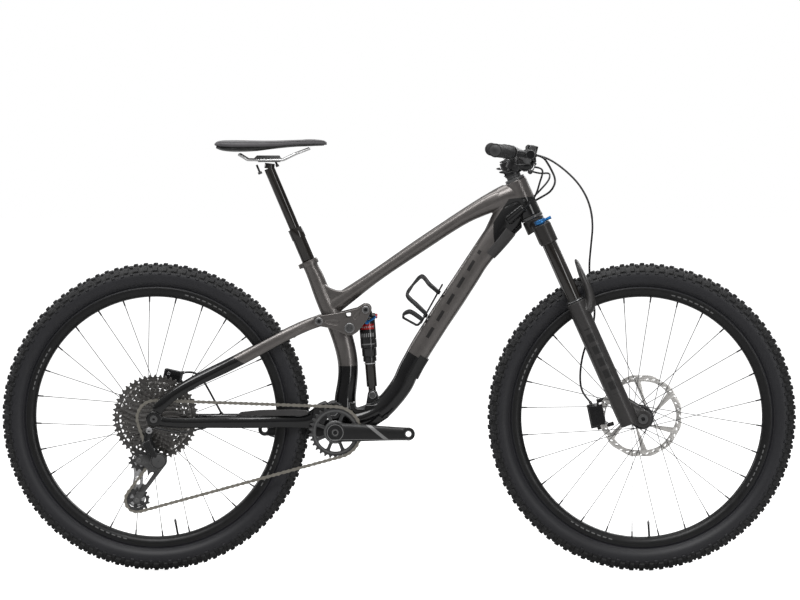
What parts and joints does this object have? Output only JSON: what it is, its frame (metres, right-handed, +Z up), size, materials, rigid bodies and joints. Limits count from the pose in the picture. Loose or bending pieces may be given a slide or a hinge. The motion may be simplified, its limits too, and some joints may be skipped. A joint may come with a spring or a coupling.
{
  "type": "mountain bike",
  "caption": "Full-suspension trail mountain bike with telescopic fork, rocker-driven rear shock, dropper seatpost, single chainring drivetrain and hydraulic disc brakes.",
  "frame": {"origin": "on the ground midway between the two axles, in the centre plane", "axes": "+X forward, +Y to the left side away from the chain, +Z up"},
  "size_m": [1.911, 0.7872, 1.0396],
  "materials": {
    "frame_paint": "satin grey paint with gloss black panels",
    "black_alloy": "black anodised",
    "stanchion_black": "gloss black coated tube",
    "fork_grey": "satin dark grey",
    "fork_blue": "blue anodised",
    "polished_steel": "brushed steel",
    "rotor_steel": "ground steel with slots",
    "chain_steel": "oiled steel",
    "cassette_steel": "dark steel",
    "tyre_rubber": "knobbed rubber",
    "rim_black": "satin black",
    "spoke_black": "black steel",
    "hub_black": "black anodised",
    "saddle_cover": "grey synthetic leather",
    "saddle_shell": "moulded plastic",
    "rail_silver": "silver tube",
    "grip_rubber": "textured rubber",
    "guard_rubber": "moulded rubber",
    "hose_black": "hose sleeve",
    "plastic_black": "moulded plastic",
    "shock_black": "gloss black can",
    "seal_rubber": "wiper seal"
  },
  "bodies": {
    "frame": {"main_frame": "frame_paint", "headset_cups": "black_alloy", "seat_clamp": "black_alloy", "seatpost_outer": "black_alloy", "bottom_bracket": "black_alloy", "pivot_axles": "black_alloy", "bottle_cage": "plastic_black"},
    "seat": {"dropper_stanchion": "stanchion_black", "saddle_clamp": "black_alloy", "saddle_rails": "rail_silver", "saddle_base": "saddle_shell", "saddle_pad": "saddle_cover"},
    "steering": {"fork_crown": "fork_grey", "fork_stanchions": "stanchion_black", "stem": "black_alloy", "headset_spacers": "black_alloy", "handlebar": "black_alloy", "grips": "grip_rubber", "brake_masters": "black_alloy", "shifter_pod": "plastic_black", "dropper_remote": "plastic_black", "cockpit_hoses": "hose_black", "front_brake_hose": "hose_black"},
    "right_brake_lever": {"brake_lever_right": "black_alloy"},
    "left_brake_lever": {"brake_lever_left": "black_alloy"},
    "shift_lever": {"shift_paddle": "plastic_black"},
    "dropper_lever": {"dropper_paddle": "plastic_black"},
    "fork_dial": {"fork_lever": "fork_blue"},
    "fork_lower_legs": {"fork_lowers": "fork_grey", "fork_seals": "seal_rubber", "front_axle": "black_alloy", "front_caliper": "black_alloy"},
    "front_wheel": {"front_tyre": "tyre_rubber", "front_rim": "rim_black", "front_spokes": "spoke_black", "front_hub": "hub_black", "front_rotor": "rotor_steel"},
    "swingarm": {"chainstay": "frame_paint", "chainstay_guard": "guard_rubber", "rear_axle": "black_alloy", "derailleur_body": "black_alloy", "tail_hoses": "hose_black", "chain": "chain_steel"},
    "seatstays": {"seatstay": "frame_paint", "rear_caliper": "black_alloy"},
    "rear_wheel": {"rear_tyre": "tyre_rubber", "rear_rim": "rim_black", "rear_spokes": "spoke_black", "rear_hub": "hub_black", "rear_rotor": "rotor_steel"},
    "sprockets": {"cassette": "cassette_steel"},
    "derailleur_arm": {"derailleur_cage": "polished_steel"},
    "upper_jockey_wheel": {"guide_pulley": "plastic_black"},
    "lower_jockey_wheel": {"tension_pulley": "plastic_black"},
    "rocker_link": {"rocker": "frame_paint"},
    "shock_lower": {"shock_shaft": "stanchion_black"},
    "shock_upper": {"shock_body": "shock_black"},
    "shock_dial": {"shock_lever": "fork_blue"},
    "crankset": {"crank_arms": "black_alloy", "chainring": "cassette_steel"}
  },
  "joints": [
    {"name": "steering", "type": "hinge", "parent": "frame", "child": "steering", "pos_m": [0.28, 0, 0.94], "axis": [-0.4067, 0, 0.9135], "range_deg": [-58, 58], "deforming": ["cockpit_hoses"]},
    {"name": "fork_travel", "type": "slide", "parent": "steering", "child": "fork_lower_legs", "axis": [-0.4067, 0, 0.9135], "range_m": [0, 0.14], "stiffness_N_per_m": 4000, "deforming": ["front_brake_hose"]},
    {"name": "front_wheel_spin", "type": "hinge", "parent": "fork_lower_legs", "child": "front_wheel", "pos_m": [0.584, 0, 0.3715], "axis": [0, 1, 0], "continuous": true},
    {"name": "seat_dropper", "type": "slide", "parent": "frame", "child": "seat", "axis": [-0.3907, 0, 0.9205], "range_m": [-0.15, 0]},
    {"name": "rear_suspension", "type": "hinge", "parent": "frame", "child": "swingarm", "pos_m": [-0.157, 0, 0.388], "axis": [0, 1, 0], "range_deg": [0, 17.64], "stiffness_Nm_per_rad": 250, "deforming": ["chain"]},
    {"name": "seatstay_pivot", "type": "hinge", "parent": "swingarm", "child": "seatstays", "pos_m": [-0.584, 0, 0.3715], "axis": [0, 1, 0], "range_deg": [-7.4, 0], "deforming": ["tail_hoses"]},
    {"name": "rocker_pivot", "type": "hinge", "parent": "frame", "child": "rocker_link", "pos_m": [-0.1176, 0, 0.5872], "axis": [0, 1, 0], "range_deg": [0, 60.5]},
    {"name": "shock_swing", "type": "hinge", "parent": "frame", "child": "shock_lower", "pos_m": [-0.0631, 0, 0.425], "axis": [0, 1, 0], "range_deg": [0, 6]},
    {"name": "shock_stroke", "type": "slide", "parent": "shock_lower", "child": "shock_upper", "axis": [0.0764, 0, -0.9971], "range_m": [0, 0.0575]},
    {"name": "shock_lever_turn", "type": "hinge", "parent": "shock_upper", "child": "shock_dial", "pos_m": [-0.07655, -0.023, 0.60049], "axis": [0, 1, 0], "range_deg": [0, 60]},
    {"name": "rear_wheel_spin", "type": "hinge", "parent": "swingarm", "child": "rear_wheel", "pos_m": [-0.584, 0, 0.3715], "axis": [0, 1, 0], "continuous": true},
    {"name": "crank_spin", "type": "hinge", "parent": "frame", "child": "crankset", "pos_m": [-0.1512, 0, 0.3385], "axis": [0, 1, 0], "continuous": true},
    {"name": "cassette_spin", "type": "hinge", "parent": "swingarm", "child": "sprockets", "pos_m": [-0.584, -0.052, 0.3715], "axis": [0, 1, 0], "continuous": true},
    {"name": "derailleur_swing", "type": "hinge", "parent": "swingarm", "child": "derailleur_arm", "pos_m": [-0.5722, -0.059, 0.2715], "axis": [0, 1, 0], "range_deg": [-40, 10], "stiffness_Nm_per_rad": 2},
    {"name": "guide_pulley_spin", "type": "hinge", "parent": "derailleur_arm", "child": "upper_jockey_wheel", "pos_m": [-0.6212, -0.052, 0.2702], "axis": [0, 1, 0], "continuous": true},
    {"name": "tension_pulley_spin", "type": "hinge", "parent": "derailleur_arm", "child": "lower_jockey_wheel", "pos_m": [-0.6269, -0.052, 0.1748], "axis": [0, 1, 0], "continuous": true},
    {"name": "right_brake_pull", "type": "hinge", "parent": "steering", "child": "right_brake_lever", "pos_m": [0.318, -0.206, 0.982], "axis": [-0.6222, 0, -0.7828], "range_deg": [0, 20], "stiffness_Nm_per_rad": 0.8},
    {"name": "left_brake_pull", "type": "hinge", "parent": "steering", "child": "left_brake_lever", "pos_m": [0.318, 0.206, 0.982], "axis": [0.6222, 0, 0.7828], "range_deg": [0, 20], "stiffness_Nm_per_rad": 0.8},
    {"name": "shift_press", "type": "hinge", "parent": "steering", "child": "shift_lever", "pos_m": [0.268, -0.192, 0.9655], "axis": [0.3489, 0, 0.9371], "range_deg": [0, 22], "stiffness_Nm_per_rad": 0.3},
    {"name": "dropper_press", "type": "hinge", "parent": "steering", "child": "dropper_lever", "pos_m": [0.2655, 0.192, 0.9704], "axis": [-0.3489, 0, -0.9371], "range_deg": [0, 22], "stiffness_Nm_per_rad": 0.3},
    {"name": "fork_lever_turn", "type": "hinge", "parent": "steering", "child": "fork_dial", "pos_m": [0.33865, -0.068, 0.84023], "axis": [0.4067, 0, -0.9135], "range_deg": [0, 90]}
  ],
  "couplings": [
    {"joint": "seatstay_pivot", "follows": "rear_suspension", "ratio": -0.4093},
    {"joint": "rocker_pivot", "follows": "rear_suspension", "ratio": 3.3968},
    {"joint": "shock_swing", "follows": "rear_suspension", "ratio": 0.31066},
    {"joint": "shock_stroke", "follows": "rear_suspension", "m_per_rad": 0.18189},
    {"joint": "cassette_spin", "follows": "crank_spin", "ratio": 1.4286},
    {"joint": "guide_pulley_spin", "follows": "crank_spin", "ratio": -2.5},
    {"joint": "tension_pulley_spin", "follows": "crank_spin", "ratio": 2.1429}
  ]
}
